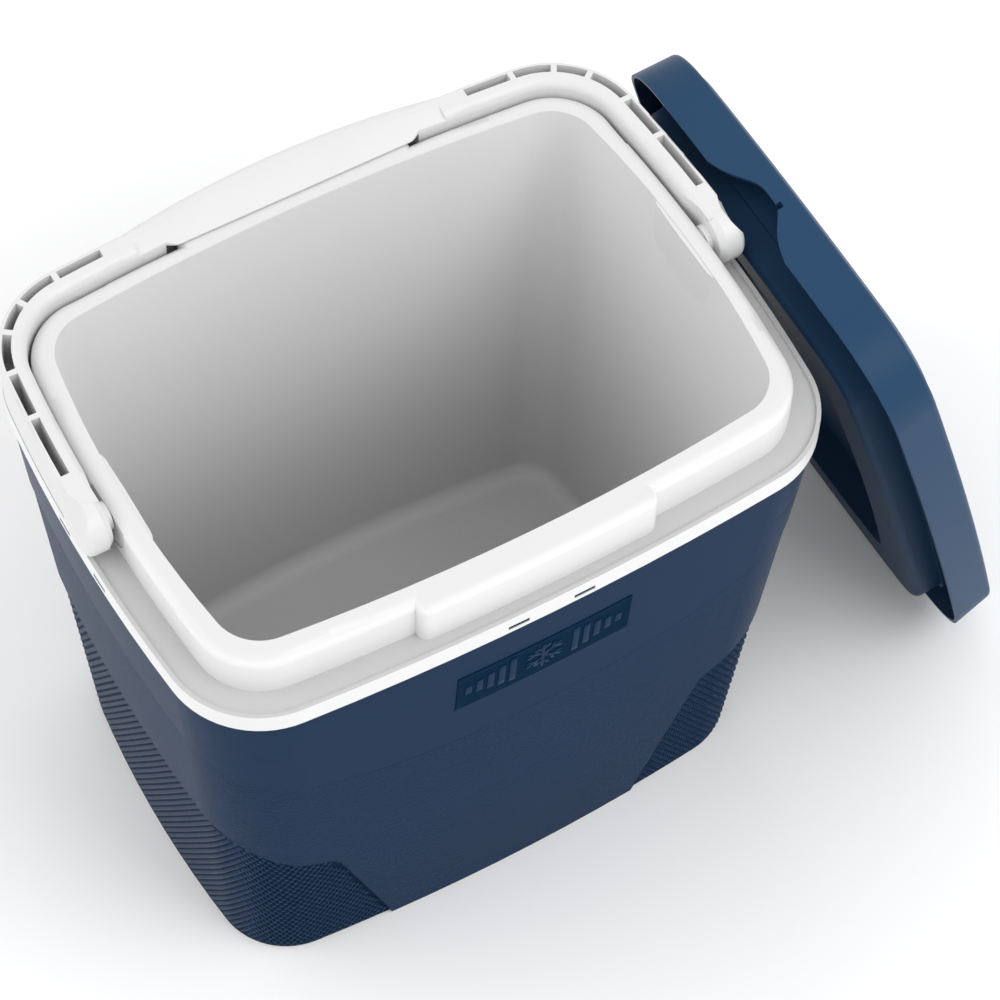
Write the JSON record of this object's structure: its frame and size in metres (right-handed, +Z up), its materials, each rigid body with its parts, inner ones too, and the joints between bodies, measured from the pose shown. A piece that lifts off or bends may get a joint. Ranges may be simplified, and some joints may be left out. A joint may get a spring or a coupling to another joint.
{
  "type": "cooler chest",
  "caption": "Tapered insulated chest with a white rim, a swinging bail handle and a separate lid that leans against one short side.",
  "frame": {"origin": "centre of the chest's flat base, on the floor", "axes": "+Z up, +X along the long side towards the leaning lid, -Y towards the badge side"},
  "size_m": [0.5438, 0.308, 0.3689],
  "materials": {
    "shell_blue": "satin, fine grain",
    "liner_white": "semi-gloss",
    "handle_white": "satin",
    "badge_blue": "satin",
    "foam_white": "beaded foam",
    "lid_blue": "satin"
  },
  "bodies": {
    "chest": {"outer_shell": "shell_blue", "inner_liner": "liner_white", "front_badge": "badge_blue", "insulation_front": "foam_white", "insulation_back": "foam_white", "insulation_left": "foam_white", "insulation_right": "foam_white", "insulation_base": "foam_white"},
    "bail": {"handle": "handle_white"},
    "lid": {"lid_cover": "lid_blue", "lid_liner": "lid_blue", "lid_insulation": "foam_white"}
  },
  "joints": [
    {"name": "handle_swing", "type": "hinge", "parent": "chest", "child": "bail", "pos_m": [0, 0, 0.3469], "axis": [1, 0, 0], "range_deg": [0, 165]},
    {"name": "lid_lift_away", "type": "slide", "parent": "chest", "child": "lid", "axis": [0.9578, 0, 0.2874], "range_m": [0, 0.3]}
  ]
}
